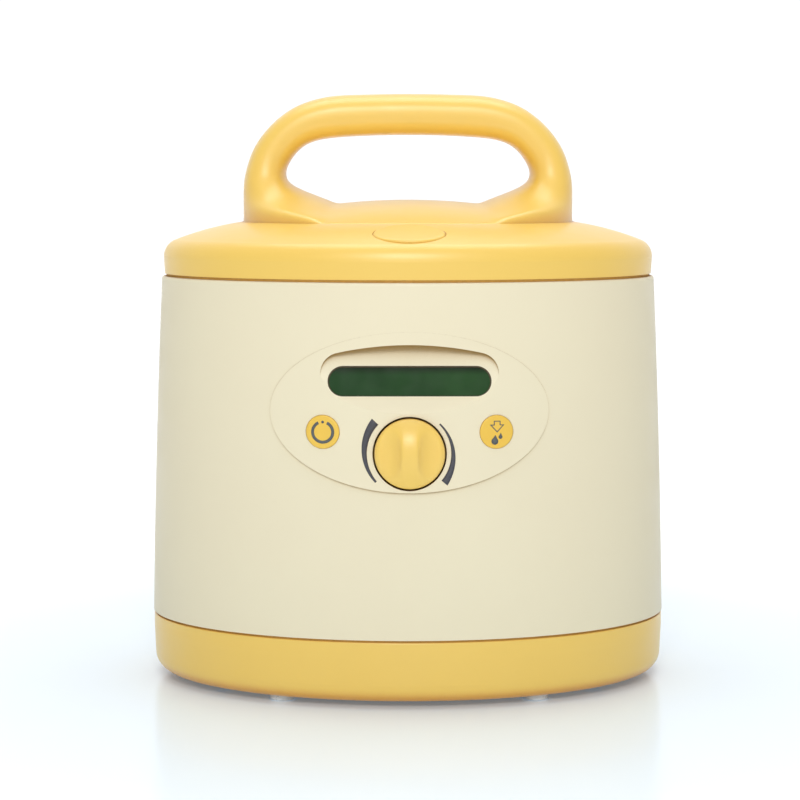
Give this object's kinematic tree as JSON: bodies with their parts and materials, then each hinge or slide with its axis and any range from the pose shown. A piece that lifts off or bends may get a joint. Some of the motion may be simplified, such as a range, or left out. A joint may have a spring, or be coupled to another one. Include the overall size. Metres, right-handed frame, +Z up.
{
  "type": "breast pump",
  "caption": "Upright electric breast pump with an oval cream barrel, yellow domed cover, hinged lid with an arched carrying handle, and a raised control panel with display, knob and buttons.",
  "frame": {"origin": "centre of the object's footprint, knob included, on the surface that it stands on", "axes": "+Z up through the handle, -Y out of the control panel, +X to the right as seen from the front"},
  "size_m": [0.2606, 0.1966, 0.2949],
  "materials": {
    "yellow_plastic": "satin",
    "cream_plastic": "satin",
    "clear_rubber": "translucent",
    "seal_rubber": "matte",
    "display_window": "gloss",
    "white_plastic": "moulded",
    "black_plastic": "moulded",
    "grey_plastic": "moulded",
    "circuit_board": "lacquered",
    "steel": "zinc plated",
    "bearing_bronze": "machined",
    "aluminium": "machined",
    "belt_rubber": "matte"
  },
  "bodies": {
    "housing": {"top_cover": "yellow_plastic", "base_tray": "yellow_plastic", "body_shell": "cream_plastic", "control_panel": "cream_plastic", "clear_feet": "clear_rubber", "base_seal": "seal_rubber", "cover_seal": "seal_rubber", "display_gasket": "seal_rubber", "pump_diaphragms": "seal_rubber", "display_lens": "display_window", "deck": "white_plastic", "port_seats": "white_plastic", "seat_rings": "white_plastic", "vacuum_chambers": "white_plastic", "diaphragm_clamps": "white_plastic", "latch_guide": "white_plastic", "lcd_module": "black_plastic", "encoder": "black_plastic", "button_switches": "black_plastic", "mains_inlet": "black_plastic", "battery_pack": "grey_plastic", "battery_strap": "grey_plastic", "ribbon_cable": "grey_plastic", "rating_plate": "grey_plastic", "control_board": "circuit_board", "power_board": "circuit_board", "base_screws": "steel", "cover_screws": "steel", "panel_screws": "steel", "board_screws": "steel", "deck_screws": "steel", "chassis_screws": "steel", "motor_screws": "steel", "power_screws": "steel", "inlet_screws": "steel", "hinge_pins": "steel", "release_springs": "steel", "guide_rods": "steel", "motor": "steel", "screw_bearings": "bearing_bronze", "inlet_pins": "bearing_bronze", "drive_chassis": "aluminium", "drive_belt": "belt_rubber"},
    "lid": {"handle_lid": "yellow_plastic", "lid_liner": "white_plastic", "lid_screws": "steel", "lid_pads": "seal_rubber", "lid_hook": "white_plastic"},
    "release": {"release_button": "yellow_plastic"},
    "bolt": {"latch_bolt": "white_plastic"},
    "power_key": {"power_button": "yellow_plastic"},
    "letdown_key": {"letdown_button": "yellow_plastic"},
    "knob": {"vacuum_knob": "yellow_plastic", "knob_shaft": "steel"},
    "screw": {"lead_screw": "steel", "screw_pulley": "black_plastic"},
    "rotor": {"motor_pulley": "black_plastic"},
    "pump": {"crosshead": "aluminium", "piston_rods": "steel", "piston_plates": "aluminium"}
  },
  "joints": [
    {"name": "lid_hinge", "type": "hinge", "parent": "housing", "child": "lid", "pos_m": [0, 0.06809, 0.231], "axis": [-1, 0, 0], "range_deg": [0, 100]},
    {"name": "release_press", "type": "slide", "parent": "housing", "child": "release", "axis": [0, 0.3622, -0.9321], "range_m": [0, 0.0025], "stiffness_N_per_m": 400, "springref_m": -0.002, "deforming": ["release_springs"]},
    {"name": "bolt_slide", "type": "slide", "parent": "housing", "child": "bolt", "axis": [0, -1, 0], "range_m": [0, 0.0025]},
    {"name": "power_press", "type": "slide", "parent": "housing", "child": "power_key", "axis": [0, 1, 0], "range_m": [0, 0.0012], "stiffness_N_per_m": 500, "springref_m": -0.001},
    {"name": "letdown_press", "type": "slide", "parent": "housing", "child": "letdown_key", "axis": [0, 1, 0], "range_m": [0, 0.0012], "stiffness_N_per_m": 500, "springref_m": -0.001},
    {"name": "knob_turn", "type": "hinge", "parent": "housing", "child": "knob", "pos_m": [0, -0.08641, 0.123], "axis": [0, 1, 0], "continuous": true},
    {"name": "screw_spin", "type": "hinge", "parent": "housing", "child": "screw", "pos_m": [0, 0.00359, 0.16], "axis": [0, 0, 1], "range_deg": [0, 450]},
    {"name": "motor_spin", "type": "hinge", "parent": "housing", "child": "rotor", "pos_m": [0, 0.03959, 0.16], "axis": [0, 0, 1], "range_deg": [0, 1125]},
    {"name": "pump_stroke", "type": "slide", "parent": "housing", "child": "pump", "axis": [0, 0, -1], "range_m": [0, 0.01]}
  ],
  "couplings": [
    {"joint": "bolt_slide", "follows": "release_press", "ratio": 1},
    {"joint": "motor_spin", "follows": "screw_spin", "ratio": 2.5},
    {"joint": "pump_stroke", "follows": "screw_spin", "m_per_rad": 0.0012732}
  ]
}
